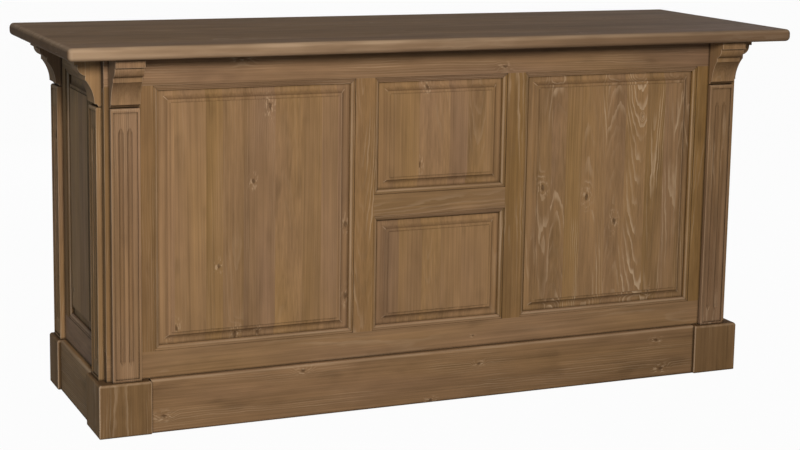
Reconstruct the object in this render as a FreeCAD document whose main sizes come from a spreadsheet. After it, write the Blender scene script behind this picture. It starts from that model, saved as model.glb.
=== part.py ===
import FreeCAD, Part
import os
import re
import Sketcher

# A panelled bar counter in pine. X runs along the counter, Y from the customer's side to the service
# side and Z up, with the origin on the floor under the middle of the top. Millimetres throughout.

doc = FreeCAD.newDocument("bar_counter")

# Driving dimensions

sizes = {
    # Top
    "top_length": "2200",
    "top_depth": "750",
    "counter_height": "1070",
    "top_thick": "36",
    "top_corner_round": "14",
    "top_edge_round": "13",
    "top_under_round": "13",
    "end_overhang": "92",
    "front_overhang": "86",
    "back_overhang": "60",
    # Plinth: corner blocks with boards set back between them
    "plinth_height": "150",
    "block_width": "147",
    "back_block_depth": "105",
    "block_margin": "12",
    "block_round": "8",
    "plinth_recess": "10",
    "plinth_board_thick": "28",
    "plinth_board_round": "8",
    # Frames: widths of the flat faces, between the stuck mouldings
    "frame_thick": "24",
    "top_rail_face": "81",
    "bottom_rail_face": "75",
    "mid_rail_face": "62",
    "end_stile_face": "134",
    "mid_stile_face": "58",
    "centre_opening": "414",
    "side_stile_face": "121",
    # Stuck moulding and panel groove along the frame's inner edges
    "bead_quirk": "2",
    "bead_flat": "5",
    "bead_step": "1.5",
    "bead_round": "6.5",
    "bead_fall": "3.5",
    "bead_fillet": "2.5",
    "groove_front": "14",
    "groove_wide": "6",
    "groove_deep": "8",
    # Raised panels: a field with a ledge, a hollow and a flat margin round it
    "panel_play": "1",
    "field_set": "1",
    "field_step": "3",
    "ledge_wide": "8",
    "hollow_wide": "21",
    "margin_wide": "5",
    # Fluted pilasters
    "pilaster_width": "80",
    "pilaster_thick": "16",
    "pilaster_reveal": "14",
    "pilaster_edge_round": "2",
    "pilaster_top_round": "7",
    "pilaster_margin": "6.5",
    "pilaster_top_margin": "11",
    "pilaster_sunk": "3",
    "flute_radius": "8",
    "flute_spacing": "24",
    "flute_tip": "26",
    "flute_top_gap": "30",
    "flute_bottom_gap": "24",
    # Brackets, from the toe up to the nose under the top
    "bracket_gap": "2",
    "toe_back": "8",
    "toe_out": "11",
    "toe_high": "8",
    "toe_radius": "12",
    "lip_high": "6",
    "cove_out": "22.5",
    "cove_high": "56",
    "cove_radius": "105",
    "band_step": "1.5",
    "band_high": "13",
    "ovolo_out": "21",
    "ovolo_high": "28",
    "ovolo_radius": "26",
    "nose_step": "9",
    "nose_high": "24",
    # Carcass behind the frames
    "bottom_thick": "20",
    "divider_thick": "20",
    "back_rail_thick": "24",
    "back_rail_high": "60",
    "corner_batten": "30",
    "top_batten": "25",
    "shelf_rise": "2",
    "shelf_thick": "20",
    "shelf_setback": "9",
    "bearer": "20",
    "bearer_setback": "20",
    # Screws that hold the top down
    "screw_radius": "2.25",
    "screw_head_radius": "4.5",
    "screw_head_high": "3.5",
    "screw_bite": "20",
    # Drawer in the middle bay
    "drawer_front_high": "128",
    "drawer_front_thick": "20",
    "drawer_front_gap": "0.4",
    "drawer_top_gap": "3",
    "drawer_lap": "14",
    "drawer_side_gap": "2",
    "drawer_end_gap": "76",
    "drawer_wall": "12",
    "drawer_wall_high": "96",
    "drawer_lip": "14",
    "drawer_bottom_thick": "6",
    "drawer_bottom_rise": "8",
    "drawer_groove": "6",
    "runner": "20",
    "slide_gap": "0.3",
    "kicker_gap": "1",
    # Turned knob
    "knob_radius": "17",
    "knob_long": "32",
    "knob_neck_radius": "8",
    "knob_neck_long": "12",
    "knob_crown": "6",
    "knob_flare_radius": "18",
    "knob_spigot_radius": "6",
    "knob_spigot_long": "14",
    # Cuts run this far past the faces that they open
    "overrun": "5",
}
screw_shares = (0.2, 0.8)
tiny = 1e-4

sheet = doc.addObject("Spreadsheet::Sheet", "Sizes")
for row, (name, value) in enumerate(sizes.items(), start=1):
    sheet.set(f"A{row}", name)
    sheet.set(f"B{row}", value)
    sheet.setAlias(f"B{row}", name)
doc.recompute()

# Places worked out from the driving dimensions

places = {
    "top_under": "counter_height - top_thick",
    "block_half": "top_length / 2 - end_overhang",
    "block_front": "front_overhang - top_depth / 2",
    "block_back": "top_depth / 2 - back_overhang",
    "frame_half": "block_half - block_margin - pilaster_thick",
    "frame_front": "block_front + block_margin + pilaster_thick",
    "frame_back": "frame_front + frame_thick",
    "back_plane": "block_back - block_margin",
    "side_inner": "frame_half - frame_thick",
    "front_long": "2 * frame_half",
    "side_long": "back_plane - frame_back",
    "opening_low": "plinth_height + bottom_rail_face",
    "opening_high": "top_under - top_rail_face",
    "opening_mid": "(opening_low + opening_high) / 2",
    "mid_rail_low": "opening_mid - mid_rail_face / 2",
    "mid_rail_high": "opening_mid + mid_rail_face / 2",
    "mid_stile_left": "frame_half - centre_opening / 2 - mid_stile_face",
    "mid_stile_right": "frame_half + centre_opening / 2",
    "bead_out": "bead_flat + bead_round + bead_fillet",
    "bead_deep": "bead_quirk + bead_step + bead_fall",
    "bead_radius": "(bead_round * bead_round + bead_fall * bead_fall) / (2 * bead_fall)",
    "groove_back": "groove_front + groove_wide",
    "tongue": "groove_deep - panel_play",
    "tongue_front": "groove_front - field_set",
    "panel_thick": "groove_back - field_set",
    "hollow_foot": "tongue + margin_wide",
    "hollow_head": "hollow_foot + hollow_wide",
    "field_edge": "hollow_head + ledge_wide",
    "hollow_deep": "tongue_front - field_step",
    "hollow_radius": "(hollow_wide * hollow_wide + hollow_deep * hollow_deep) / (2 * hollow_deep)",
    "bracket_out": "toe_back + toe_out + cove_out + band_step + ovolo_out + nose_step",
    "bracket_high": "toe_high + lip_high + cove_high + band_high + ovolo_high + nose_high",
    "bracket_low": "top_under - bracket_high",
    "pilaster_high": "bracket_low - bracket_gap - plinth_height",
    "bay_floor": "plinth_height + bottom_thick",
    "divider_x": "(centre_opening + mid_stile_face) / 2",
    "divider_inner": "divider_x - divider_thick / 2",
    "divider_outer": "divider_x + divider_thick / 2",
    "divider_back": "back_plane - back_rail_thick",
    "shelf_level": "mid_rail_low + shelf_rise",
    "shelf_back": "divider_back - shelf_setback",
    "batten_side": "side_inner - corner_batten",
    "batten_back": "frame_back + corner_batten",
    "batten_under": "top_under - top_batten",
    "drawer_half": "divider_inner - drawer_side_gap",
    "drawer_face": "divider_back + drawer_front_gap",
    "drawer_back": "frame_back + drawer_end_gap",
    "drawer_front_top": "top_under - back_rail_high - drawer_top_gap",
    "drawer_front_low": "drawer_front_top - drawer_front_high",
    "drawer_low": "drawer_front_low + drawer_lip",
    "drawer_high": "drawer_low + drawer_wall_high",
    "drawer_floor": "drawer_low + drawer_bottom_rise",
    "drawer_floor_top": "drawer_floor + drawer_bottom_thick",
    "drawer_bottom_half": "drawer_half - drawer_wall + drawer_groove",
    "runner_top": "drawer_low - slide_gap",
    "kicker_low": "drawer_high + kicker_gap",
    "drawer_outer": "drawer_face + drawer_front_thick",
    "knob_crown_radius": "(knob_radius * knob_radius + knob_crown * knob_crown) / (2 * knob_crown)",
}


def size(text):
    """The expression, in the sheet's cells, for a sum of named sizes and places."""

    def cell(match):
        word = match.group()
        return f"({size(places[word])})" if word in places else f"Sizes.{word}"

    return re.sub(r"[a-z_]+", cell, text)


def number(text):
    """The present value of such a sum."""
    return float(sheet.evalExpression(size(text)))


# Helpers that make and place the pieces

pieces = {}
side_angles = {"front": 0, "left": -90, "right": 90, "back": 180}
side_corners = {
    "front": ("-frame_half", "frame_front"),
    "left": ("-frame_half", "back_plane"),
    "right": ("frame_half", "frame_back"),
    "back": ("frame_half", "back_plane"),
}


def place(piece, side, across, inward, height):
    """Stand a piece on one side of the counter, by distances from that side's lower left corner."""
    corner_x, corner_y = side_corners[side]
    x, y = {
        "front": (f"{corner_x} + ({across})", f"{corner_y} + ({inward})"),
        "left": (f"{corner_x} + ({inward})", f"{corner_y} - ({across})"),
        "right": (f"{corner_x} - ({inward})", f"{corner_y} + ({across})"),
        "back": (f"{corner_x} - ({across})", f"{corner_y} - ({inward})"),
    }[side]
    turn = FreeCAD.Rotation(FreeCAD.Vector(0, 0, 1), side_angles[side])
    piece.Placement = FreeCAD.Placement(FreeCAD.Vector(0, 0, 0), turn)
    for axis, text in zip("xyz", (x, y, height)):
        piece.setExpression(f"Placement.Base.{axis}", size(text))


def new_body(label):
    body = doc.addObject("PartDesign::Body", label)
    body.Label = label
    return body


def origin_plane(body, role):
    return next(item for item in body.Origin.OriginFeatures if item.Role == role)


def draw(body, role, *outlines):
    """A sketch of closed outlines on one of the body's own planes.

    Each corner is a pair of size texts. Two more entries bend the stretch that leads to the corner
    into an arc: round (bulging out of the outline) or hollow, and its radius.
    """
    sketch = body.newObject("Sketcher::SketchObject", f"{body.Name}_outline")
    sketch.AttachmentSupport = [(origin_plane(body, role), "")]
    sketch.MapMode = "FlatFace"
    rules = []
    texts = []
    first = 0
    for corners in outlines:
        count = len(corners)
        points = [FreeCAD.Vector(number(c[0]), number(c[1]), 0) for c in corners]
        swept = sum(p.x * q.y - q.x * p.y for p, q in zip(points, points[1:] + points[:1]))
        ends = []
        for k, p in enumerate(points):
            following = corners[(k + 1) % count]
            q = points[(k + 1) % count]
            if len(following) == 2:
                sketch.addGeometry(Part.LineSegment(p, q), False)
                ends.append((1, 2))
                continue
            radius = number(following[3])
            leftward = (following[2] == "round") == (swept > 0)
            chord = q - p
            rise = (radius**2 - chord.Length**2 / 4) ** 0.5
            aside = FreeCAD.Vector(-chord.y, chord.x, 0).normalize() * (rise if leftward else -rise)
            centre = (p + q) * 0.5 + aside
            circle = Part.Circle(centre, FreeCAD.Vector(0, 0, 1), radius)
            begin, finish = (p, q) if leftward else (q, p)
            arc = Part.ArcOfCircle(circle, circle.parameter(begin), circle.parameter(finish))
            sketch.addGeometry(arc, False)
            ends.append((1, 2) if leftward else (2, 1))
            rules.append(Sketcher.Constraint("Radius", first + k, radius))
            texts.append(following[3])
        for k, corner in enumerate(corners):
            later = (k + 1) % count
            meeting = (first + k, ends[k][1], first + later, ends[later][0])
            rules.append(Sketcher.Constraint("Coincident", *meeting))
            texts.append(None)
            for kind, text in zip(("DistanceX", "DistanceY"), corner):
                rules.append(Sketcher.Constraint(kind, -1, 1, first + k, ends[k][0], number(text)))
                texts.append(text)
        first += count
    sketch.addConstraint(rules)
    for k, text in enumerate(texts):
        if text is not None:
            sketch.setExpression(f"Constraints[{k}]", size(text))
    return sketch


def pad(body, sketch, length):
    feature = body.newObject("PartDesign::Pad", f"{body.Name}_pad")
    feature.Profile = sketch
    feature.setExpression("Length", size(length))
    doc.recompute()
    return feature


def fillet(body, base, radius, chosen):
    """Round the edges of the base feature whose bounding boxes pass the test."""
    edges = enumerate(base.Shape.Edges, start=1)
    names = [f"Edge{k}" for k, edge in edges if chosen(edge.BoundBox)]
    feature = body.newObject("PartDesign::Fillet", f"{body.Name}_fillet")
    feature.Base = (base, names)
    feature.setExpression("Radius", size(radius))
    doc.recompute()
    return feature


def rectangle(x_low, y_low, x_high, y_high):
    return [(x_low, y_low), (x_high, y_low), (x_high, y_high), (x_low, y_high)]


def block(label, x, y, z):
    """A plain board from pairs of size texts: where it starts and ends along each axis."""
    box = doc.addObject("Part::Box", label)
    box.Label = label
    for side, axis, (low, high) in zip(("Length", "Width", "Height"), "xyz", (x, y, z)):
        box.setExpression(side, size(f"{high} - ({low})"))
        box.setExpression(f"Placement.Base.{axis}", size(low))
    return box


def joined(label, items):
    group = doc.addObject("Part::Compound", label)
    group.Label = label
    group.Links = items
    return group


def cut(label, base, tool):
    piece = doc.addObject("Part::Cut", label)
    piece.Label = label
    piece.Base = base
    piece.Tool = tool
    return piece


def mirrored(pair, hand):
    """A pair of X texts for the right-hand side, turned over for the left."""
    return pair if hand == "right" else (f"-({pair[1]})", f"-({pair[0]})")


# Frame members: a flat face with a stuck bead and a panel groove along the inner edges


def beaded_edge(edge, way):
    """Corners from the face to the back of an edge that looks into an opening."""

    def out(text):
        return f"{edge} {way} ({text})"

    return [
        (edge, "0"),
        (edge, "bead_quirk"),
        (out("bead_flat"), "bead_quirk"),
        (out("bead_flat"), "bead_quirk + bead_step"),
        (out("bead_flat + bead_round"), "bead_deep", "round", "bead_radius"),
        (out("bead_out"), "bead_deep"),
        (out("bead_out"), "groove_front"),
        (out("bead_out - groove_deep"), "groove_front"),
        (out("bead_out - groove_deep"), "groove_back"),
        (out("bead_out"), "groove_back"),
        (out("bead_out"), "frame_thick"),
    ]


def backwards(corners):
    """The same corners from the back to the face, each bend kept on its own stretch."""
    bends = [corner[2:] for corner in corners[1:]] + [()]
    return [corner[:2] + bend for corner, bend in zip(corners, bends)][::-1]


def section(low, high, beads):
    """A member's section across its face, beaded on its low edge, its high edge or both."""
    upper = beaded_edge(high, "+") if "high" in beads else [(high, "0"), (high, "frame_thick")]
    lower = beaded_edge(low, "-") if "low" in beads else [(low, "0"), (low, "frame_thick")]
    return upper + backwards(lower)


def swapped(corners):
    return [(corner[1], corner[0]) + corner[2:] for corner in corners]


def rail(label, side, start, end, low, high, beads):
    body = new_body(label)
    pad(body, draw(body, "YZ_Plane", swapped(section(low, high, beads))), f"{end} - ({start})")
    place(body, side, start, "0", "0")
    return body


def stile(label, side, start, end, beads):
    body = new_body(label)
    pad(body, draw(body, "XY_Plane", section(start, end, beads)), "opening_high - opening_low")
    place(body, side, "0", "0", "opening_low")
    return body


def raised_panel(label, side, left, right, low, high):
    """A raised and fielded panel for the opening between four flat faces, floating in their grooves."""
    wide = f"({right} - ({left}) - 2 * bead_out + 2 * tongue)"
    tall = f"({high} - ({low}) - 2 * bead_out + 2 * tongue)"
    body = new_body(label)
    across = [
        ("0", "tongue_front"),
        ("0", "panel_thick"),
        (wide, "panel_thick"),
        (wide, "tongue_front"),
        (f"{wide} - hollow_foot", "tongue_front"),
        (f"{wide} - hollow_head", "field_step", "hollow", "hollow_radius"),
        (f"{wide} - field_edge", "field_step"),
        (f"{wide} - field_edge", "0"),
        ("field_edge", "0"),
        ("field_edge", "field_step"),
        ("hollow_head", "field_step"),
        ("hollow_foot", "tongue_front", "hollow", "hollow_radius"),
    ]
    pad(body, draw(body, "XY_Plane", across), tall)

    def waste(edge, way):
        return [
            ("-overrun", f"{edge} {way} field_edge"),
            ("-overrun", f"{edge} {way} (-overrun)"),
            ("tongue_front", f"{edge} {way} (-overrun)"),
            ("tongue_front", f"{edge} {way} hollow_foot"),
            ("field_step", f"{edge} {way} hollow_head", "round", "hollow_radius"),
            ("field_step", f"{edge} {way} field_edge"),
        ]

    hollows = body.newObject("PartDesign::Pocket", f"{label}_hollows")
    hollows.Profile = draw(body, "YZ_Plane", waste("0", "+"), waste(tall, "-"))
    hollows.Type = "ThroughAll"
    hollows.SideType = "Symmetric"
    rim = "bead_out - tongue"
    place(body, side, f"{left} + {rim}", "field_set", f"{low} + {rim}")
    pieces[label] = body


# Front frame: rails run through, end stiles and mid stiles are coped between them

front_rails = [
    rail("front_top_rail", "front", "0", "front_long", "opening_high", "top_under", ("low",)),
    rail("front_bottom_rail", "front", "0", "front_long", "plinth_height", "opening_low", ("high",)),
]
for item in front_rails:
    pieces[item.Label] = item
front_rail_pair = joined("front_rail_pair", front_rails)
mid_stiles = []
for hand, start, beads in (
    ("left", "0", ("high",)),
    ("right", "front_long - end_stile_face", ("low",)),
):
    blank = stile(f"front_end_stile_{hand}_blank", "front", start, f"{start} + end_stile_face", beads)
    label = f"front_end_stile_{hand}"
    pieces[label] = cut(label, blank, front_rail_pair)
for hand in ("left", "right"):
    start = f"mid_stile_{hand}"
    blank = stile(f"front_{start}_blank", "front", start, f"{start} + mid_stile_face", ("low", "high"))
    mid_stiles.append(blank)
    pieces[f"front_{start}"] = cut(f"front_{start}", blank, front_rail_pair)
mid_rail_blank = rail(
    "front_mid_rail_blank",
    "front",
    "mid_stile_left + mid_stile_face",
    "mid_stile_right",
    "mid_rail_low",
    "mid_rail_high",
    ("low", "high"),
)
mid_stile_pair = joined("mid_stile_pair", mid_stiles)
pieces["front_mid_rail"] = cut("front_mid_rail", mid_rail_blank, mid_stile_pair)

# Front panels: one in each end bay, two stacked in the middle

raised_panel("front_panel_left", "front", "end_stile_face", "mid_stile_left", "opening_low", "opening_high")
raised_panel(
    "front_panel_right",
    "front",
    "mid_stile_right + mid_stile_face",
    "front_long - end_stile_face",
    "opening_low",
    "opening_high",
)
for name, low, high in (("upper", "mid_rail_high", "opening_high"), ("lower", "opening_low", "mid_rail_low")):
    raised_panel(
        f"front_panel_centre_{name}",
        "front",
        "mid_stile_left + mid_stile_face",
        "mid_stile_right",
        low,
        high,
    )

# Side frames: the same joints round one panel, butted against the back of the front frame

for hand, ends in (("left", ("back", "front")), ("right", ("front", "back"))):
    rails = [
        rail(f"side_top_rail_{hand}", hand, "0", "side_long", "opening_high", "top_under", ("low",)),
        rail(f"side_bottom_rail_{hand}", hand, "0", "side_long", "plinth_height", "opening_low", ("high",)),
    ]
    for item in rails:
        pieces[item.Label] = item
    rail_pair = joined(f"side_rail_pair_{hand}", rails)
    starts = ("0", "side_long - side_stile_face")
    for end, start, beads in zip(ends, starts, (("high",), ("low",))):
        label = f"side_{end}_stile_{hand}"
        blank = stile(f"{label}_blank", hand, start, f"{start} + side_stile_face", beads)
        pieces[label] = cut(label, blank, rail_pair)
    raised_panel(
        f"side_panel_{hand}",
        hand,
        "side_stile_face",
        "side_long - side_stile_face",
        "opening_low",
        "opening_high",
    )

# Pilasters: a sunk field with two gouged flutes, glued to the face of the frame


def pilaster(label, side, centre):
    body = new_body(label)
    half = "pilaster_width / 2"
    plan = rectangle(f"-{half}", "0", half, "pilaster_thick")
    blank = pad(body, draw(body, "XY_Plane", plan), "pilaster_high")
    head = number("pilaster_high") - tiny
    topped = fillet(body, blank, "pilaster_top_round", lambda box: box.YMax < tiny and box.ZMin > head)
    fillet(body, topped, "pilaster_edge_round", lambda box: box.YMax < tiny and box.XLength < tiny)
    field_half = f"{half} - pilaster_margin"
    field_top = "pilaster_high - pilaster_top_margin"
    field = body.newObject("PartDesign::Pocket", f"{label}_field")
    sunk = rectangle(f"-({field_half})", "pilaster_margin", field_half, field_top)
    field.Profile = draw(body, "XZ_Plane", sunk)
    field.setExpression("Length", size("pilaster_sunk"))
    doc.recompute()
    low = "pilaster_margin + flute_bottom_gap"
    high = f"{field_top} - flute_top_gap"
    pencil = [
        ("0", low),
        ("flute_radius", f"{low} + flute_tip"),
        ("flute_radius", f"{high} - flute_tip"),
        ("0", high),
    ]
    sketch = draw(body, "YZ_Plane", pencil)
    sketch.setExpression("AttachmentOffset.Base.z", size("flute_spacing / 2"))
    flute = body.newObject("PartDesign::Groove", f"{label}_flute")
    flute.Profile = sketch
    flute.ReferenceAxis = (sketch, ["V_Axis"])
    flute.Angle = 360
    doc.recompute()
    flutes = body.newObject("PartDesign::Mirrored", f"{label}_flutes")
    flutes.Originals = [flute]
    flutes.MirrorPlane = (origin_plane(body, "YZ_Plane"), [""])
    body.Tip = flutes
    place(body, side, centre, "-pilaster_thick", "plinth_height")
    pieces[label] = body


# Brackets: one moulded profile, with its nose under the top and its toe above the pilaster


def bracket(label, side, centre):
    body = new_body(label)
    toe_front = "bracket_out - toe_back"
    cove_foot = f"{toe_front} - toe_out"
    cove_head = f"{cove_foot} - cove_out"
    band_front = f"{cove_head} - band_step"
    ovolo_front = f"{band_front} - ovolo_out"
    lip_top = "toe_high + lip_high"
    band_low = f"{lip_top} + cove_high"
    band_top = f"{band_low} + band_high"
    nose_low = f"{band_top} + ovolo_high"
    profile = [
        ("bracket_out", "0"),
        ("bracket_out", "bracket_high"),
        ("0", "bracket_high"),
        ("0", nose_low),
        (ovolo_front, nose_low),
        (band_front, band_top, "round", "ovolo_radius"),
        (band_front, band_low),
        (cove_head, band_low),
        (cove_foot, lip_top, "hollow", "cove_radius"),
        (cove_foot, "toe_high"),
        (toe_front, "0", "hollow", "toe_radius"),
    ]
    pad(body, draw(body, "YZ_Plane", profile), "pilaster_width")
    place(body, side, f"{centre} - pilaster_width / 2", "-bracket_out", "bracket_low")
    pieces[label] = body


reveal = "pilaster_reveal + pilaster_width / 2"
for hand, centre in (("left", reveal), ("right", f"front_long - ({reveal})")):
    pilaster(f"front_pilaster_{hand}", "front", centre)
    bracket(f"front_bracket_{hand}", "front", centre)
for hand, ends in (("left", ("back", "front")), ("right", ("front", "back"))):
    for end, centre in zip(ends, ("pilaster_width / 2", "side_long - pilaster_width / 2")):
        pilaster(f"side_pilaster_{end}_{hand}", hand, centre)
        bracket(f"side_bracket_{end}_{hand}", hand, centre)

# Plinth: four corner blocks that carry the frames, with boards between them

front_depth = ("block_front", "block_front + block_width")
back_depth = ("block_back - back_block_depth", "block_back")
for end, (near, far) in (("front", front_depth), ("back", back_depth)):
    for hand in ("left", "right"):
        label = f"plinth_block_{end}_{hand}"
        body = new_body(label)
        outline = rectangle("0", "0", "block_width", f"{far} - ({near})")
        blank = pad(body, draw(body, "XY_Plane", outline), "plinth_height")
        head = number("plinth_height") - tiny
        fillet(body, blank, "block_round", lambda box: box.ZMin > head)
        span = mirrored(("block_half - block_width", "block_half"), hand)
        for axis, text in zip("xyz", (span[0], near, "0")):
            body.setExpression(f"Placement.Base.{axis}", size(text))
        pieces[label] = body
board_section = [
    ("0", "0"),
    ("plinth_board_thick", "0"),
    ("plinth_board_thick", "plinth_height"),
    ("plinth_board_round", "plinth_height"),
    ("0", "plinth_height - plinth_board_round", "round", "plinth_board_round"),
]
proud = "block_margin + pilaster_thick - plinth_recess"
lengthwise = ("block_width - (block_half - frame_half)", "2 * (block_half - block_width)")
front_edge = "block_front + block_width"
back_edge = "block_back - back_block_depth"
depthwise = f"{back_edge} - ({front_edge})"
for side, start, length, out in (
    ("front", *lengthwise, proud),
    ("back", *lengthwise, "block_margin - plinth_recess"),
    ("left", f"back_plane - ({back_edge})", depthwise, proud),
    ("right", f"{front_edge} - frame_back", depthwise, proud),
):
    label = f"plinth_board_{side}"
    body = new_body(label)
    pad(body, draw(body, "YZ_Plane", board_section), length)
    place(body, side, start, f"-({out})", "0")
    pieces[label] = body

# Carcass: corner battens, bottom board, dividers behind the mid stiles and a rail under the top's back

battens = [
    block(
        f"corner_batten_{hand}",
        mirrored(("batten_side", "side_inner"), hand),
        ("frame_back", "batten_back"),
        ("bay_floor", "top_under"),
    )
    for hand in ("left", "right")
]
pieces["corner_battens"] = joined("corner_battens", battens)
pieces["bottom_board"] = block(
    "bottom_board",
    ("-side_inner", "side_inner"),
    ("frame_back", "back_plane"),
    ("plinth_height", "bay_floor"),
)
pieces["back_top_rail"] = block(
    "back_top_rail",
    ("-side_inner", "side_inner"),
    ("divider_back", "back_plane"),
    ("top_under - back_rail_high", "top_under"),
)
for hand in ("left", "right"):
    label = f"divider_{hand}"
    span = mirrored(("divider_inner", "divider_outer"), hand)
    pieces[label] = block(label, span, ("frame_back", "divider_back"), ("bay_floor", "top_under"))

# Shelves: one in each bay, notched round the corner battens, on bearers fixed to the uprights

outer_bay = ("divider_outer", "side_inner")
centre_bay = ("-divider_inner", "divider_inner")
bays = {"left": mirrored(outer_bay, "left"), "centre": centre_bay, "right": outer_bay}
bearers = []
for name, (low, high) in bays.items():
    blank = block(
        f"shelf_{name}_blank",
        (low, high),
        ("frame_back", "shelf_back"),
        ("shelf_level", "shelf_level + shelf_thick"),
    )
    pieces[f"shelf_{name}"] = cut(f"shelf_{name}", blank, pieces["corner_battens"])
    for end, span in (("left", (low, f"{low} + bearer")), ("right", (f"{high} - bearer", high))):
        bearers.append(
            block(
                f"shelf_bearer_{name}_{end}",
                span,
                ("batten_back", "shelf_back - bearer_setback"),
                ("shelf_level - bearer", "shelf_level"),
            )
        )
pieces["shelf_bearers"] = joined("shelf_bearers", bearers)

# Top: held down by screws through battens along the front and side frames


def screw(label, x, y):
    """A countersunk screw, driven up from the underside of a batten."""
    head = doc.addObject("Part::Cone", f"{label}_head")
    head.setExpression("Radius1", size("screw_head_radius"))
    head.setExpression("Radius2", size("screw_radius"))
    head.setExpression("Height", size("screw_head_high"))
    shank = doc.addObject("Part::Cylinder", f"{label}_shank")
    shank.setExpression("Radius", size("screw_radius"))
    shank.setExpression("Height", size("top_batten + screw_bite - screw_head_high"))
    for item, height in ((head, "batten_under"), (shank, "batten_under + screw_head_high")):
        for axis, text in zip("xyz", (x, y, height)):
            item.setExpression(f"Placement.Base.{axis}", size(text))
    whole = doc.addObject("Part::Fuse", label)
    whole.Base = head
    whole.Tool = shank
    return whole


front_strip = ("frame_back", "frame_back + top_batten")
side_strip = ("batten_back", "divider_back")
runs = {
    "left": (mirrored(("divider_outer", "batten_side"), "left"), front_strip),
    "centre": (centre_bay, front_strip),
    "right": (("divider_outer", "batten_side"), front_strip),
    "left_side": (mirrored(("side_inner - top_batten", "side_inner"), "left"), side_strip),
    "right_side": (("side_inner - top_batten", "side_inner"), side_strip),
}
blanks = []
screws = []
for name, (x, y) in runs.items():
    blanks.append(block(f"top_batten_{name}", x, y, ("batten_under", "top_under")))
    for k, share in enumerate(screw_shares):
        middle = [f"({low}) + ({high} - ({low})) / 2" for low, high in (x, y)]
        long_way = 1 if name.endswith("side") else 0
        low, high = (x, y)[long_way]
        middle[long_way] = f"({low}) + ({high} - ({low})) * {share}"
        screws.append(screw(f"top_screw_{name}_{k}", *middle))
pieces["top_screws"] = joined("top_screws", screws)
batten_blanks = joined("top_batten_blanks", blanks)
pieces["top_battens"] = cut("top_battens", batten_blanks, pieces["top_screws"])

slab = new_body("counter_top_blank")
half_long = "top_length / 2"
half_deep = "top_depth / 2"
slab_outline = rectangle(f"-{half_long}", f"-{half_deep}", half_long, half_deep)
square = pad(slab, draw(slab, "XY_Plane", slab_outline), "top_thick")
cornered = fillet(slab, square, "top_corner_round", lambda box: box.ZLength > tiny)
upper = number("top_thick") - tiny
rounded = fillet(slab, cornered, "top_edge_round", lambda box: box.ZMin > upper)
fillet(slab, rounded, "top_under_round", lambda box: box.ZMax < tiny)
slab.setExpression("Placement.Base.z", size("top_under"))
pieces["counter_top"] = cut("counter_top", slab, pieces["top_screws"])

# Drawer: a grooved box with a lapped front, sliding out at the back on runners under kickers

runners = []
for hand in ("left", "right"):
    span = mirrored(("divider_inner - runner", "divider_inner"), hand)
    run = ("batten_back", "divider_back")
    runners.append(block(f"drawer_runner_{hand}", span, run, ("runner_top - runner", "runner_top")))
    runners.append(block(f"drawer_kicker_{hand}", span, run, ("kicker_low", "kicker_low + runner")))
pieces["drawer_runners"] = joined("drawer_runners", runners)

floor_span = ("-drawer_bottom_half", "drawer_bottom_half")
floor_run = ("drawer_back", "drawer_face + drawer_groove")
floor = block("drawer_bottom", floor_span, floor_run, ("drawer_floor", "drawer_floor_top"))
pieces["drawer_bottom"] = floor
for hand in ("left", "right"):
    label = f"drawer_side_{hand}"
    span = mirrored(("drawer_half - drawer_wall", "drawer_half"), hand)
    blank = block(f"{label}_blank", span, ("drawer_back", "drawer_face"), ("drawer_low", "drawer_high"))
    pieces[label] = cut(label, blank, floor)
pieces["drawer_back"] = block(
    "drawer_back",
    ("drawer_wall - drawer_half", "drawer_half - drawer_wall"),
    ("drawer_back", "drawer_back + drawer_wall"),
    ("drawer_floor_top", "drawer_high"),
)
knob = new_body("drawer_knob")
turned = [
    ("0", "-knob_spigot_long"),
    ("knob_spigot_radius", "-knob_spigot_long"),
    ("knob_spigot_radius", "0"),
    ("knob_neck_radius", "0"),
    ("knob_neck_radius", "knob_neck_long"),
    ("knob_radius", "knob_long - knob_crown", "hollow", "knob_flare_radius"),
    ("0", "knob_long", "round", "knob_crown_radius"),
]
spun = knob.newObject("PartDesign::Revolution", "drawer_knob_turned")
spun.Profile = draw(knob, "XY_Plane", turned)
spun.ReferenceAxis = (spun.Profile[0], ["V_Axis"])
spun.Angle = 360
for axis, text in (("y", "drawer_outer"), ("z", "(drawer_front_low + drawer_front_top) / 2")):
    knob.setExpression(f"Placement.Base.{axis}", size(text))
pieces["drawer_knob"] = knob
front_half = "divider_inner + drawer_lap"
front_blank = block(
    "drawer_front_blank",
    (f"-({front_half})", front_half),
    ("drawer_face", "drawer_outer"),
    ("drawer_front_low", "drawer_front_top"),
)
pieces["drawer_front"] = cut("drawer_front", front_blank, joined("drawer_front_holes", [floor, knob]))

# Every object has to be sound before any file is written

doc.recompute()
for item in doc.Objects:
    if {"Invalid", "Error"} & set(item.State):
        raise RuntimeError(f"{item.Label} failed: {item.State}")
for label, piece in pieces.items():
    if piece.Shape.isNull() or not piece.Shape.isValid():
        raise RuntimeError(f"{label} has no sound shape")
os.makedirs("parts", exist_ok=True)
for label, piece in pieces.items():
    piece.Shape.exportStep(f"parts/{label}.step")
print(len(pieces), "pieces written")
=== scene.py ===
import random
from math import radians

import bmesh
import bpy
from mathutils import Matrix, Vector


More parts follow.
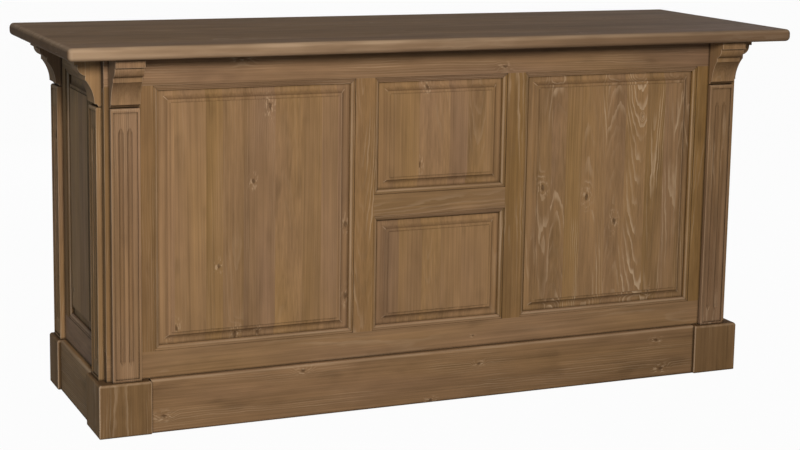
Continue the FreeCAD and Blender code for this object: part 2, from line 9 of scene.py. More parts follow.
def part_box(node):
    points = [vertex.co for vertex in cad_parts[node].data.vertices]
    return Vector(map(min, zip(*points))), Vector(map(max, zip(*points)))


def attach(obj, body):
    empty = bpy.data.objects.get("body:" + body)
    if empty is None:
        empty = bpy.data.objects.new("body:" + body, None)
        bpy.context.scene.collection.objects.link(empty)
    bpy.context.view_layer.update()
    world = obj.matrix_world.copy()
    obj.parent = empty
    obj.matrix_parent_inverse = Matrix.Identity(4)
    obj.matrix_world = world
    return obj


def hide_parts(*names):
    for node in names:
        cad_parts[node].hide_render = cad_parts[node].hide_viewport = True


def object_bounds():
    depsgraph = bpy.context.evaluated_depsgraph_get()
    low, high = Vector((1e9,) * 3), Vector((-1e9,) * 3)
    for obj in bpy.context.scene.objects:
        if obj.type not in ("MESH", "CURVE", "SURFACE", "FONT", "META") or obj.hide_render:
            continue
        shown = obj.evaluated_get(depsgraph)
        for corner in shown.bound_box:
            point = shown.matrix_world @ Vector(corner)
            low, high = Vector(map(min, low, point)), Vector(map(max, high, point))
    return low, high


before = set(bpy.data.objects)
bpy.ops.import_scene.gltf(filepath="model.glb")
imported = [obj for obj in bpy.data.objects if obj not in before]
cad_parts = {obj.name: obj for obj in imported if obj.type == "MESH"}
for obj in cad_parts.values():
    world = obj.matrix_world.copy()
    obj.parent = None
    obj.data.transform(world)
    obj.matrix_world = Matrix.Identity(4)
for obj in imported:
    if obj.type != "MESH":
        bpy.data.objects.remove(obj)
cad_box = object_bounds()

# Studio. A customer's view of the counter, from the left and a little above, on a pale floor that
# runs up into white. A soft lamp stands in front, one lights the open back, and weaker, cooler ones
# the two ends.

picture_wide = 800
picture_high = 450
camera_place = Vector((-2.1486, -4.9301, 1.5628))
camera_yaw = radians(23.398)
camera_pitch = radians(9.448)
camera_roll = radians(0.9335)
focal_pixels = 1821.4
axis_row = 160
sensor_wide = 36.0

camera = bpy.data.objects.new("camera", bpy.data.cameras.new("camera"))
bpy.context.scene.collection.objects.link(camera)
camera.data.sensor_width = sensor_wide
camera.data.lens = sensor_wide * focal_pixels / picture_wide
camera.data.shift_y = (axis_row - picture_high / 2) / picture_wide
turn = Matrix.Rotation(-camera_yaw, 4, "Z")
tilt = Matrix.Rotation(radians(90) - camera_pitch, 4, "X")
lean = Matrix.Rotation(camera_roll, 4, "Z")
camera.matrix_world = Matrix.Translation(camera_place) @ turn @ tilt @ lean
bpy.context.scene.camera = camera
bpy.context.scene.view_settings.view_transform = "Standard"

counter_middle = Vector((0.0, 0.0, cad_box[1][2] / 2))
for name, place, wide, watts, colour in (
    ("front_softbox", (-1.65, -4.7, 2.4), 1.1, 222, (1.0, 0.956, 0.89)),
    ("left_fill", (-5.0, -1.0, 1.4), 2.5, 34, (0.42, 0.66, 1.0)),
    ("right_fill", (2.6, 1.6, 2.4), 1.2, 16, (0.5, 0.68, 1.0)),
    ("back_softbox", (1.2, 4.6, 0.5), 1.0, 150, (1.0, 0.97, 0.93)),
):
    lamp = bpy.data.objects.new(name, bpy.data.lights.new(name, "AREA"))
    bpy.context.scene.collection.objects.link(lamp)
    lamp.data.shape = "DISK"
    lamp.data.size = wide
    lamp.data.energy = watts
    lamp.data.color = colour
    lamp.location = place
    lamp.rotation_euler = (counter_middle - lamp.location).to_track_quat("-Z", "Y").to_euler()

room_light = (0.82, 0.93, 1.0, 1.0)
room_strength = 0.15
white = (1.0, 1.0, 1.0, 1.0)


def seen_directly(nodes, links):
    """One for a ray from the camera, or one that a mirror or glass passes on."""
    path = nodes.new("ShaderNodeLightPath")
    seen = path.outputs["Is Camera Ray"]
    for kind in ("Is Glossy Ray", "Is Transmission Ray"):
        either = nodes.new("ShaderNodeMath")
        either.operation = "MAXIMUM"
        links.new(seen, either.inputs[0])
        links.new(path.outputs[kind], either.inputs[1])
        seen = either.outputs[0]
    return seen


room = bpy.data.worlds.new("white_room")
bpy.context.scene.world = room
room.use_nodes = True
nodes, links = room.node_tree.nodes, room.node_tree.links
nodes.clear()
fill = nodes.new("ShaderNodeBackground")
fill.inputs["Color"].default_value = room_light
fill.inputs["Strength"].default_value = room_strength
backdrop = nodes.new("ShaderNodeBackground")
backdrop.inputs["Color"].default_value = white
either = nodes.new("ShaderNodeMixShader")
links.new(seen_directly(nodes, links), either.inputs["Fac"])
links.new(fill.outputs[0], either.inputs[1])
links.new(backdrop.outputs[0], either.inputs[2])
links.new(either.outputs[0], nodes.new("ShaderNodeOutputWorld").inputs["Surface"])

floor_half = 40.0
floor_grey = (0.3, 0.3, 0.3, 1.0)
floor_glow_share = 0.97
paper = bpy.data.materials.new("pale_floor")
paper.use_nodes = True
nodes, links = paper.node_tree.nodes, paper.node_tree.links
nodes.clear()
matt = nodes.new("ShaderNodeBsdfDiffuse")
matt.inputs["Color"].default_value = floor_grey
glow = nodes.new("ShaderNodeEmission")
glow.inputs["Color"].default_value = white
share = nodes.new("ShaderNodeMath")
share.operation = "MULTIPLY"
share.inputs[1].default_value = floor_glow_share
either = nodes.new("ShaderNodeMixShader")
links.new(seen_directly(nodes, links), share.inputs[0])
links.new(share.outputs[0], either.inputs["Fac"])
links.new(matt.outputs[0], either.inputs[1])
links.new(glow.outputs[0], either.inputs[2])

# The floor inside the plinth stays dark, so that nothing white shows through the joints
spot = nodes.new("ShaderNodeTexCoord")
sides = nodes.new("ShaderNodeSeparateXYZ")
links.new(spot.outputs["Object"], sides.inputs[0])
covered = nodes.new("ShaderNodeMath")
covered.operation = "MULTIPLY"
for side, first, last in ((0, "left", "right"), (1, "front", "back")):
    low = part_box(f"plinth_board_{first}")[0][side]
    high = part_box(f"plinth_board_{last}")[1][side]
    within = nodes.new("ShaderNodeMath")
    within.operation = "COMPARE"
    links.new(sides.outputs[side], within.inputs[0])
    within.inputs[1].default_value = (low + high) / 2
    within.inputs[2].default_value = (high - low) / 2
    links.new(within.outputs[0], covered.inputs[side])
inside = nodes.new("ShaderNodeMixShader")
links.new(covered.outputs[0], inside.inputs["Fac"])
links.new(either.outputs[0], inside.inputs[1])
links.new(matt.outputs[0], inside.inputs[2])
links.new(inside.outputs[0], nodes.new("ShaderNodeOutputMaterial").inputs["Surface"])
bm = bmesh.new()
bmesh.ops.create_grid(bm, size=floor_half)
floor = bpy.data.objects.new("floor", bpy.data.meshes.new("floor"))
bm.to_mesh(floor.data)
bm.free()
floor.data.materials.append(paper)
bpy.context.scene.collection.objects.link(floor)

# Plinth. Four solid pine blocks at the corners, with their grain upright, carry the frames. Boards
# with a rounded upper edge stand between them, a little back from the blocks' faces, and are glued
# to them.

draw = random.Random(9)


def pine_figure():
    """The figure of a stained and brushed pine board, for a point placed in its tree.

    Grain gives the distance along the trunk and the two distances from its pith. Board gives the
    board's own tone, strength of figure and warmth. The third input is one on edges made pale by
    rubbing, and on upward rounds this paleness is also a painted highlight; it is minus one in hollows
    and on end grain, which hold more stain, and in the hollows that darkening is also painted shade.
    """
    tree = bpy.data.node_groups.new("pine_figure", "ShaderNodeTree")
    for name, kind in (
        ("Grain", "NodeSocketVector"),
        ("Board", "NodeSocketVector"),
        ("Wear_And_Painted_Light", "NodeSocketFloat"),
        ("Stain", "NodeSocketColor"),
        ("Ochre", "NodeSocketColor"),
        ("Latewood", "NodeSocketColor"),
        ("Knot", "NodeSocketColor"),
        ("Rubbed_And_Highlight", "NodeSocketColor"),
        ("Ring Spacing", "NodeSocketFloat"),
        ("Knots", "NodeSocketFloat"),
        ("Grime_And_Shade", "NodeSocketFloat"),
    ):
        tree.interface.new_socket(name, in_out="INPUT", socket_type=kind)
    for name, kind in (
        ("Color", "NodeSocketColor"),
        ("Roughness", "NodeSocketFloat"),
        ("Height", "NodeSocketFloat"),
    ):
        tree.interface.new_socket(name, in_out="OUTPUT", socket_type=kind)
    nodes, links = tree.nodes, tree.links
    given = nodes.new("NodeGroupInput").outputs
    made = nodes.new("NodeGroupOutput").inputs

    def feed(socket, value):
        if isinstance(value, bpy.types.NodeSocket):
            links.new(value, socket)
        else:
            socket.default_value = value

    def sum_of(operation, *values):
        node = nodes.new("ShaderNodeMath")
        node.operation = operation
        for socket, value in zip(node.inputs, values):
            feed(socket, value)
        return node.outputs[0]

    def ramp(value, low, high, start=0.0, end=1.0):
        node = nodes.new("ShaderNodeMapRange")
        node.interpolation_type = "SMOOTHSTEP"
        feed(node.inputs["Value"], value)
        feed(node.inputs["From Min"], low)
        feed(node.inputs["From Max"], high)
        feed(node.inputs["To Min"], start)
        feed(node.inputs["To Max"], end)
        return node.outputs[0]

    def stretched(scale):
        node = nodes.new("ShaderNodeVectorMath")
        node.operation = "MULTIPLY"
        links.new(given["Grain"], node.inputs[0])
        node.inputs[1].default_value = scale
        return node.outputs[0]

    def noise(along, across, detail=2.0):
        """Noise drawn out along the grain, by cycles to the metre each way, from minus to plus half."""
        node = nodes.new("ShaderNodeTexNoise")
        node.inputs["Scale"].default_value = 1.0
        node.inputs["Detail"].default_value = detail
        links.new(stretched((along, across, across)), node.inputs["Vector"])
        return sum_of("SUBTRACT", node.outputs["Fac"], 0.5)

    def blend(amount, first, second):
        node = nodes.new("ShaderNodeMix")
        node.data_type = "RGBA"
        links.new(amount, node.inputs[0])
        links.new(first, node.inputs[6])
        links.new(second, node.inputs[7])
        return node.outputs[2]

    def scaled(colour, amount):
        node = nodes.new("ShaderNodeVectorMath")
        node.operation = "SCALE"
        links.new(colour, node.inputs[0])
        links.new(amount, node.inputs["Scale"])
        return node.outputs[0]

    # Knots: a branch here and there crosses the board, and the rings swerve round it
    places_to_metre = (5.0, 9.0, 0.0)
    least_knot, knot_spread = 0.02, 0.05
    raggedness = 1.6
    core_reach = (0.35, 1.0)
    fleck_reach = (1.2, 3.6)
    swerve_reach = (0.5, 4.5)
    widest_swerve = 0.016
    cells = nodes.new("ShaderNodeTexVoronoi")
    cells.voronoi_dimensions = "2D"
    cells.inputs["Scale"].default_value = 1.0
    links.new(stretched(places_to_metre), cells.inputs["Vector"])
    chance = nodes.new("ShaderNodeSeparateColor")
    links.new(cells.outputs["Color"], chance.inputs[0])
    present = sum_of("LESS_THAN", chance.outputs[0], given["Knots"])
    knot_size = sum_of("MULTIPLY_ADD", chance.outputs[1], knot_spread, least_knot)
    reach = sum_of("DIVIDE", cells.outputs["Distance"], knot_size)
    ragged = sum_of("MULTIPLY_ADD", noise(90.0, 160.0), raggedness, reach)
    core = sum_of("MULTIPLY", ramp(ragged, *core_reach, 1.0, 0.0), present)
    fleck = sum_of("MULTIPLY", ramp(noise(70.0, 230.0), 0.02, 0.14), ramp(reach, *fleck_reach, 1.0, 0.0))
    halo = sum_of("MULTIPLY", fleck, present)
    swerve = sum_of("MULTIPLY", ramp(reach, *swerve_reach, widest_swerve, 0.0), present)

    # Growth rings round the pith, wandering along the trunk
    wander, ripple = 0.03, 0.007
    late_start, late_full, late_end = 0.5, 0.9, 0.94
    least_year, year_spread = 0.3, 0.7
    parts = nodes.new("ShaderNodeSeparateXYZ")
    links.new(given["Grain"], parts.inputs[0])
    square = sum_of("MULTIPLY", parts.outputs[1], parts.outputs[1])
    radius = sum_of("SQRT", sum_of("MULTIPLY_ADD", parts.outputs[2], parts.outputs[2], square))
    radius = sum_of("MULTIPLY_ADD", noise(1.7, 5.0), wander, radius)
    radius = sum_of("MULTIPLY_ADD", noise(14.0, 60.0), ripple, radius)
    radius = sum_of("ADD", radius, swerve)
    count = sum_of("DIVIDE", radius, given["Ring Spacing"])
    ring = sum_of("FRACT", count)
    late = sum_of("MULTIPLY", ramp(ring, late_start, late_full), ramp(ring, late_end, 1.0, 1.0, 0.0))
    yearly = nodes.new("ShaderNodeTexWhiteNoise")
    yearly.noise_dimensions = "1D"
    links.new(sum_of("FLOOR", count), yearly.inputs["W"])
    late = sum_of("MULTIPLY", late, sum_of("MULTIPLY_ADD", yearly.outputs["Value"], year_spread, least_year))

    # The board's own character, with bands, streaks, clouds, fine lines, fibres and smudges
    own = nodes.new("ShaderNodeSeparateXYZ")
    links.new(given["Board"], own.inputs[0])
    tone, figure, warmth = own.outputs
    patchy = ramp(noise(3.2, 16.0), -0.04, 0.1, 0.08, 1.0)
    shown = sum_of("MULTIPLY", sum_of("MULTIPLY", late, figure), patchy)
    band = noise(0.9, 17.0, 1.0)
    streak = noise(1.3, 75.0)
    cloud = noise(7.0, 24.0)
    line = noise(2.4, 190.0)
    fibre = noise(7.0, 430.0, 3.0)
    smudge = ramp(noise(6.0, 16.0), 0.1, 0.26)
    shade = 1.0
    for layer, strength in (
        (tone, 0.1),
        (band, 0.42),
        (streak, 0.28),
        (cloud, 0.42),
        (line, 0.55),
        (fibre, 0.3),
        (smudge, -0.16),
        (late, -0.05),
    ):
        shade = sum_of("MULTIPLY_ADD", layer, strength, shade)

    # Stain between brown and ochre, with pale latewood, dark knots, stain kept in hollows that also
    # paints their shade, and pale rubbing on edges that also paints a highlight
    hue_swing, hue_of_board, hue_middle = 1.1, 0.26, 0.5
    fleck_strength, core_strength, most_held_and_shade = 0.6, 0.7, 0.66
    least_rub_and_highlight, most_rub_and_highlight = 0.35, 0.85
    hue = sum_of("MULTIPLY_ADD", warmth, hue_of_board, hue_middle)
    hue = sum_of("MULTIPLY_ADD", noise(1.8, 11.0, 1.0), hue_swing, hue)
    hue = sum_of("MINIMUM", sum_of("MAXIMUM", hue, 0.0), 1.0)
    colour = scaled(blend(hue, given["Stain"], given["Ochre"]), shade)
    colour = blend(shown, colour, given["Latewood"])
    colour = blend(sum_of("MULTIPLY", halo, fleck_strength), colour, given["Latewood"])
    colour = blend(sum_of("MULTIPLY", core, core_strength), colour, given["Knot"])
    # Hollows and end grain darken with kept stain; in the hollows this is also painted shade
    colour = blend(ramp(given["Wear_And_Painted_Light"], -0.9, 0.0, most_held_and_shade, 0.0), colour, given["Knot"])
    # Edges go pale from rubbing, and on upward rounds and along the top's edges this is also a painted
    # highlight
    rubbed_and_highlight = sum_of("MAXIMUM", given["Wear_And_Painted_Light"], 0.0)
    uneven = ramp(noise(5.0, 45.0), -0.2, 0.16, least_rub_and_highlight, most_rub_and_highlight)
    colour = blend(sum_of("MULTIPLY", rubbed_and_highlight, uneven), colour, given["Rubbed_And_Highlight"])

    # Corners and crevices darkened from ambient occlusion: soiling and wax that stay there, and painted
    # shade
    corner_reach = 0.007
    corner = nodes.new("ShaderNodeAmbientOcclusion")
    corner.samples = 6
    corner.inputs["Distance"].default_value = corner_reach
    dirt_and_shade = sum_of("MULTIPLY", ramp(corner.outputs["AO"], 0.62, 0.97, 1.0, 0.0), given["Grime_And_Shade"])
    links.new(scaled(colour, sum_of("SUBTRACT", 1.0, dirt_and_shade)), made["Color"])

    # Brushing leaves the hard latewood proud and smoother, and knots a little sunk
    roughness, fibre_roughness, late_roughness = 0.72, 0.25, -0.1
    fibre_height, core_height = 0.7, -0.5
    rough = sum_of("MULTIPLY_ADD", fibre, fibre_roughness, roughness)
    links.new(sum_of("MULTIPLY_ADD", late, late_roughness, rough), made["Roughness"])
    relief = sum_of("MULTIPLY_ADD", fibre, fibre_height, sum_of("MULTIPLY", late, figure))
    links.new(sum_of("MULTIPLY_ADD", core, core_height, relief), made["Height"])
    return tree


pine_group = pine_figure()


def waxed_pine(name, stain, ochre, latewood, ring=0.0052, knots=0.12, grime_and_shade=0.66):
    """Brushed pine with a brown stain, rubbed with wax.

    Ring is the spacing of its growth rings, knots the share of places that hold one, and the last
    argument how dark its corners and crevices get, from soiling and from painted shade.
    """
    knot_brown = (0.075, 0.04, 0.02)
    # Pale of rubbing, which on upward rounds is also a painted highlight
    rubbed_and_highlight_pale = (0.42, 0.29, 0.185)
    wax_gloss = 0.02
    brush_strength = 0.35
    brush_depth = 0.0008
    material = bpy.data.materials.new(name)
    material.use_nodes = True
    nodes, links = material.node_tree.nodes, material.node_tree.links
    shader = nodes["Principled BSDF"]
    shader.inputs["Specular IOR Level"].default_value = wax_gloss
    grown = nodes.new("ShaderNodeGroup")
    grown.node_tree = pine_group
    for socket, output in (("Grain", "Vector"), ("Board", "Vector"), ("Wear_And_Painted_Light", "Fac")):
        kept = nodes.new("ShaderNodeAttribute")
        kept.attribute_name = socket.lower()
        links.new(kept.outputs[output], grown.inputs[socket])
    for socket, colour in (
        ("Stain", stain),
        ("Ochre", ochre),
        ("Latewood", latewood),
        ("Knot", knot_brown),
        ("Rubbed_And_Highlight", rubbed_and_highlight_pale),
    ):
        grown.inputs[socket].default_value = (*colour, 1.0)
    for socket, value in (("Ring Spacing", ring), ("Knots", knots), ("Grime_And_Shade", grime_and_shade)):
        grown.inputs[socket].default_value = value
    links.new(grown.outputs["Color"], shader.inputs["Base Color"])
    links.new(grown.outputs["Roughness"], shader.inputs["Roughness"])
    brushed = nodes.new("ShaderNodeBump")
    brushed.inputs["Strength"].default_value = brush_strength
    brushed.inputs["Distance"].default_value = brush_depth
    links.new(grown.outputs["Height"], brushed.inputs["Height"])
    links.new(brushed.outputs["Normal"], shader.inputs["Normal"])
    return material


def depth_behind(face, edge):
    """How far a face reaches from one of its edges."""
    start, end = (v.co for v in edge.verts)
    line = (end - start).normalized()
    return max(((v.co - start) - line * (v.co - start).dot(line)).length for v in face.verts)


def ease_edges(bm, ease):
    """Round the sharp outer edges that have room for it, and return the new faces."""
    sharp_turn = radians(40)
    room_needed = 4 * ease
    sharp = [
        edge
        for edge in bm.edges
        if len(edge.link_faces) == 2
        and edge.is_convex
        and edge.calc_face_angle(0.0) > sharp_turn
        and min(depth_behind(face, edge) for face in edge.link_faces) > room_needed
    ]
    rounded = bmesh.ops.bevel(
        bm,
        geom=sharp,
        offset=ease,
        offset_type="OFFSET",
        affect="EDGES",
        segments=2,
        profile=0.5,
        clamp_overlap=True,
        material=-1,
    )
    return set(rounded["faces"])


def paint_wear_and_light(bm, wear_and_painted_light, eased, axes, box, held_stain_and_shade, painted_edge_light):
    """Rub the eased edges and rounded mouldings pale, partly as a painted highlight, and leave stain in
    hollows, partly as painted shade, and on end grain.
    """
    a, p, q = axes
    low, high = box
    least_bend, most_bend = radians(0.5), radians(30)
    # Rounds facing up or sideways go pale from rubbing; this paleness is also a painted highlight where the
    # light from above catches them
    rounded_wear_and_highlight = 0.7
    least_upward = -0.2
    nearly_square = 0.999
    nearly_alike = 0.85
    turned = {}
    for item in bm.faces:
        bends = [
            edge
            for edge in item.edges
            if len(edge.link_faces) == 2
            and eased.isdisjoint(edge.link_faces)
            and least_bend < edge.calc_face_angle(0.0) < most_bend
        ]
        # Concave bends keep stain, partly painted shade; convex ones not facing down go pale, partly painted
        # highlight
        if bends and sum(not edge.is_convex for edge in bends) * 2 > len(bends):
            bend = -held_stain_and_shade
        elif bends and item.normal.z > least_upward:
            bend = rounded_wear_and_highlight
        else:
            bend = 0.0
        out = min(abs(item.normal[q]), 1.0)
        slope = 2 * out * (1 - out * out) ** 0.5
        turned[item] = bend * slope - item.normal[a] ** 4
    for item in bm.faces:
        square = max(abs(part) for part in item.normal) > nearly_square
        for corner in item.loops:
            if item in eased:
                corner[wear_and_painted_light] = 1.0
                continue
            beside = [item] if square else [
                face
                for face in corner.vert.link_faces
                if face not in eased and face.normal.dot(item.normal) > nearly_alike
            ]
            # Long edges paler towards one end and darker towards the other: a painted highlight that fades
            # into painted shade along the length
            share = (corner.vert.co[a] - low[a]) / (high[a] - low[a])
            pale = painted_edge_light[0] + (painted_edge_light[1] - painted_edge_light[0]) * share
            total = sum(turned[face] + pale * abs(face.normal[p]) for face in beside)
            corner[wear_and_painted_light] = max(-1.0, total / len(beside))


def strip_cut(left, right, crown, figure):
    """Where in its trunk a strip between two joints was cut, and the look of its wood."""
    trunk_long = 40
    flat = draw.random() < crown
    return {
        "shift": draw.uniform(0, trunk_long),
        "centre": (left + right) / 2,
        "aside": (
            draw.uniform(-0.02, 0.02) if flat else draw.choice((-1, 1)) * draw.uniform(0.1, 0.3)
        ),
        "behind": (
            draw.choice((-1, 1)) * (draw.uniform(0.02, 0.07) if flat else draw.uniform(0.0, 0.06))
        ),
        "lean": draw.uniform(-0.012, 0.012),
        "rise": draw.uniform(-0.09, 0.09) if flat else draw.uniform(-0.004, 0.004),
        "look": (draw.uniform(-1, 1), figure * draw.uniform(0.4, 1.2), draw.uniform(-1, 1)),
    }


def board(
    node,
    material,
    along,
    across,
    joints=(),
    crown=0.0,
    figure=0.3,
    ease=0.001,
    held_stain_and_shade=0.3,
    painted_edge_light=(0.0, 0.0),
    body="counter",
):
    """One wooden piece: its solid with eased edges, glued from strips that meet at the joints.

    Along and across name the axes of its grain and width. Crown is the chance that a strip was cut
    flat from the trunk, which shows arches, and not on the quarter, which shows straight lines. Held
    is how much stain stays in its hollows, which also paints shade there, and the last pair a
    highlight painted along its long edges from one end to the other, which turns to painted shade
    below zero.
    """
    weld = 0.00001
    level = radians(0.5)
    smooth_turn = radians(32)
    a, p = "xyz".index(along), "xyz".index(across)
    q = 3 - a - p
    low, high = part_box(node)
    middle = (low + high) / 2
    bm = bmesh.new()
    bm.from_mesh(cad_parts[node].data)
    for layer in [item for item in bm.loops.layers.float_vector.values() if "normal" in item.name]:
        bm.loops.layers.float_vector.remove(layer)
    bmesh.ops.remove_doubles(bm, verts=bm.verts, dist=weld)
    bmesh.ops.dissolve_limit(bm, angle_limit=level, verts=bm.verts, edges=bm.edges)
    wear_and_painted_light = bm.loops.layers.float.new("wear_and_painted_light")
    eased = ease_edges(bm, ease)
    paint_wear_and_light(bm, wear_and_painted_light, eased, (a, p, q), (low, high), held_stain_and_shade, painted_edge_light)
    sideways = Vector((0.0, 0.0, 0.0))
    sideways[p] = 1.0
    for place in joints:
        everything = bm.verts[:] + bm.edges[:] + bm.faces[:]
        bmesh.ops.bisect_plane(bm, geom=everything, plane_co=sideways * place, plane_no=sideways)
    ends = [low[p], *sorted(joints), high[p]]
    strips = [strip_cut(left, right, crown, figure) for left, right in zip(ends, ends[1:])]
    grain = bm.loops.layers.float_vector.new("grain")
    look = bm.loops.layers.float_vector.new("board")
    for item in bm.faces:
        centre = item.calc_center_median()[p]
        strip = strips[sum(centre > place for place in ends[1:-1])]
        for corner in item.loops:
            place = corner.vert.co
            run = place[a] - middle[a]
            corner[grain] = (
                run + strip["shift"],
                place[p] - strip["centre"] - strip["aside"] - strip["lean"] * run,
                place[q] - middle[q] - strip["behind"] - strip["rise"] * run,
            )
            corner[look] = strip["look"]
    mesh = bpy.data.meshes.new(f"{node}_pine")
    bm.to_mesh(mesh)
    bm.free()
    mesh.shade_smooth()
    mesh.set_sharp_from_angle(angle=smooth_turn)
    mesh.materials.append(material)
    piece = bpy.data.objects.new(f"{node}_pine", mesh)
    bpy.context.scene.collection.objects.link(piece)
    piece.modifiers.new("flat_faces", "WEIGHTED_NORMAL").keep_sharp = True
    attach(piece, body)
    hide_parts(node)
    return piece


stain = (0.247, 0.146, 0.085)
ochre = (0.262, 0.152, 0.062)
latewood = (0.46, 0.32, 0.2)
block_pine = waxed_pine(
    "block_pine", (0.182, 0.105, 0.053), (0.195, 0.111, 0.047), latewood, ring=0.006, knots=0.1
)
plinth_pine = waxed_pine(
    "plinth_pine", (0.238, 0.138, 0.073), (0.254, 0.147, 0.062), latewood, ring=0.006, knots=0.3
)
for end in ("front", "back"):
    for hand in ("left", "right"):
        block = board(f"plinth_block_{end}_{hand}", block_pine, "z", "x", crown=0.5, ease=0.003)
for side, along in (("front", "x"), ("back", "x"), ("left", "y"), ("right", "y")):
    board(f"plinth_board_{side}", plinth_pine, along, "z", crown=0.7, figure=0.5)

# Front and side frames. Pine rails and stiles with a bead run along their inner edges, coped and
# glued at the corners. The rails run through and the stiles stand between them.

rail_pine = waxed_pine(
    "rail_pine", (0.236, 0.141, 0.088), (0.251, 0.147, 0.065), latewood, ring=0.007, knots=0.16
)
stile_pine = waxed_pine(
    "stile_pine", (0.223, 0.128, 0.064), (0.238, 0.134, 0.047), latewood, ring=0.007, knots=0.16
)
for name in ("front_top_rail", "front_bottom_rail", "front_mid_rail"):
    board(name, rail_pine, "x", "z", crown=0.5, figure=0.45)
for hand in ("left", "right"):
    end_stile = board(
        f"front_end_stile_{hand}", stile_pine, "z", "x", crown=0.6, figure=0.6, ease=0.002
    )
    board(f"front_mid_stile_{hand}", stile_pine, "z", "x", crown=1.0, figure=0.9)
    for level in ("top", "bottom"):
        board(f"side_{level}_rail_{hand}", rail_pine, "y", "z", crown=0.5)
    for end in ("front", "back"):
        board(f"side_{end}_stile_{hand}", stile_pine, "z", "y", crown=0.5)

# Raised panels. Each is glued up from narrow upright strips of pine, with a hollow bevel round a
# raised field, and floats in the grooves of its frame.

panel_pine = waxed_pine("panel_pine", stain, ochre, latewood, ring=0.0062, knots=0.16, grime_and_shade=0.35)
knotty_pine = waxed_pine("knotty_pine", stain, ochre, latewood, ring=0.0062, knots=0.34, grime_and_shade=0.35)
panel_strip = (0.045, 0.1)


def strip_joints(node, across, narrow, wide):
    """Places where the strips of a glued-up piece meet."""
    low, high = (corner["xyz".index(across)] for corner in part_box(node))
    places = []
    place = low + draw.uniform(narrow, wide)
    while place < high - narrow / 2:
        places.append(place)
        place += draw.uniform(narrow, wide)
    return places


for name, pine, crown, strength in (
    ("left", knotty_pine, 0.15, 0.2),
    ("centre_upper", panel_pine, 0.2, 0.2),
    ("centre_lower", panel_pine, 0.2, 0.2),
    ("right", panel_pine, 0.8, 1.2),
):
    joints = strip_joints(f"front_panel_{name}", "x", *panel_strip)
    board(f"front_panel_{name}", pine, "z", "x", joints, crown, strength)
for hand in ("left", "right"):
    joints = strip_joints(f"side_panel_{hand}", "y", *panel_strip)
    panel = board(f"side_panel_{hand}", panel_pine, "z", "y", joints, crown=0.3, figure=0.4)

# Pilasters and brackets. Flat pine strips with a sunk field and two gouged flutes are glued to the
# corners of the frames, and moulded brackets above them reach out under the top.

trim_pine = waxed_pine("trim_pine", stain, ochre, latewood, knots=0.05)
# The stain kept in the flutes and coves also paints their shade
pilaster = {"crown": 0.5, "figure": 0.5, "ease": 0.0005, "held_stain_and_shade": 0.4}
bracket = {"crown": 0.5, "held_stain_and_shade": 0.55}
for hand in ("left", "right"):
    board(f"front_pilaster_{hand}", trim_pine, "z", "x", **pilaster)
    board(f"front_bracket_{hand}", trim_pine, "z", "x", **bracket)
    for end in ("front", "back"):
        board(f"side_pilaster_{end}_{hand}", trim_pine, "z", "y", **pilaster)
        board(f"side_bracket_{end}_{hand}", trim_pine, "z", "y", **bracket)

# Carcass. Planed pine boards behind the frames: a bottom, two dividers, battens in the corners and a
# rail under the back of the top, all glued and screwed from inside.

planed_pine = waxed_pine(
    "planed_pine", (0.27, 0.165, 0.085), (0.29, 0.178, 0.082), latewood, knots=0.1, grime_and_shade=0.5
)
joints = strip_joints("bottom_board", "y", 0.09, 0.13)
board("bottom_board", planed_pine, "x", "y", joints, crown=0.4)
board("back_top_rail", planed_pine, "x", "z", crown=0.5)
board("corner_battens", planed_pine, "z", "x")
for hand in ("left", "right"):
    joints = strip_joints(f"divider_{hand}", "y", 0.08, 0.12)
    board(f"divider_{hand}", planed_pine, "z", "y", joints, crown=0.4)

# Shelves. One pine board, glued up from strips, lies loose in each bay on pine bearers, which are
# screwed to the dividers and the end frames.

for bay in ("left", "centre", "right"):
    joints = strip_joints(f"shelf_{bay}", "y", 0.08, 0.12)
    board(f"shelf_{bay}", planed_pine, "x", "y", joints, crown=0.4)
board("shelf_bearers", planed_pine, "y", "x")

# Top. Long pine boards glued edge to edge, with all edges rounded over and stained a greyer brown,
# with a highlight painted along the long edges, pale towards the left and shaded towards the right.
# Zinc-plated screws through battens hold it down from underneath.

top_pine = waxed_pine(
    "top_pine", (0.173, 0.106, 0.062), (0.178, 0.107, 0.057), (0.3, 0.208, 0.135), knots=0.16
)
joints = strip_joints("counter_top", "y", 0.1, 0.14)
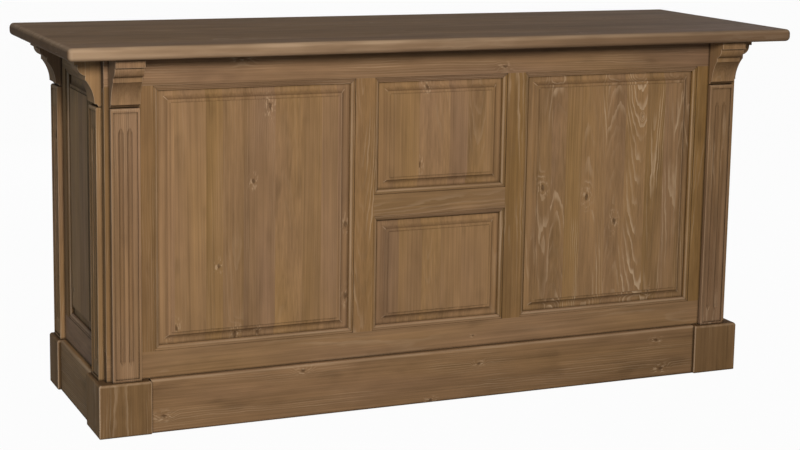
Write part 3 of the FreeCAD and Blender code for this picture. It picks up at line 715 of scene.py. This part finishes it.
# Painted highlight along the long edges at the left end, fading to painted shade at the right
top = board("counter_top", top_pine, "x", "y", joints, crown=0.6, figure=0.9, painted_edge_light=(0.8, -0.3))
board("top_battens", planed_pine, "x", "y")

zinc_dull = (0.52, 0.5, 0.44, 1.0)
zinc_bright = (0.66, 0.64, 0.58, 1.0)
zinc_least_rough, zinc_most_rough = 0.25, 0.5
zinc_clouds_to_metre = 900.0
zinc = bpy.data.materials.new("zinc_plate")
zinc.use_nodes = True
nodes, links = zinc.node_tree.nodes, zinc.node_tree.links
shader = nodes["Principled BSDF"]
shader.inputs["Metallic"].default_value = 1.0
spot = nodes.new("ShaderNodeTexCoord")
cloud = nodes.new("ShaderNodeTexNoise")
cloud.inputs["Scale"].default_value = zinc_clouds_to_metre
links.new(spot.outputs["Object"], cloud.inputs["Vector"])
dull = nodes.new("ShaderNodeMix")
dull.data_type = "RGBA"
dull.inputs[6].default_value = zinc_dull
dull.inputs[7].default_value = zinc_bright
links.new(cloud.outputs["Fac"], dull.inputs[0])
links.new(dull.outputs[2], shader.inputs["Base Color"])
rough = nodes.new("ShaderNodeMapRange")
rough.inputs["To Min"].default_value = zinc_least_rough
rough.inputs["To Max"].default_value = zinc_most_rough
links.new(cloud.outputs["Fac"], rough.inputs["Value"])
links.new(rough.outputs[0], shader.inputs["Roughness"])
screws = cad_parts["top_screws"]
screws.data.materials.clear()
screws.data.materials.append(zinc)

# Drawer. A pine box slides out of the middle bay at the back, on runners under kickers. Its front
# laps over the dividers and has a turned pine knob in a round hole.

board("drawer_runners", planed_pine, "y", "x")
for hand in ("left", "right"):
    board(f"drawer_side_{hand}", planed_pine, "y", "z", crown=0.4, body="drawer")
board("drawer_back", planed_pine, "x", "z", crown=0.4, body="drawer")
joints = strip_joints("drawer_bottom", "x", 0.09, 0.13)
board("drawer_bottom", planed_pine, "y", "x", joints, crown=0.4, body="drawer")
board("drawer_front", planed_pine, "x", "z", crown=0.8, ease=0.002, body="drawer")
board("drawer_knob", trim_pine, "y", "x", crown=1.0, body="drawer")
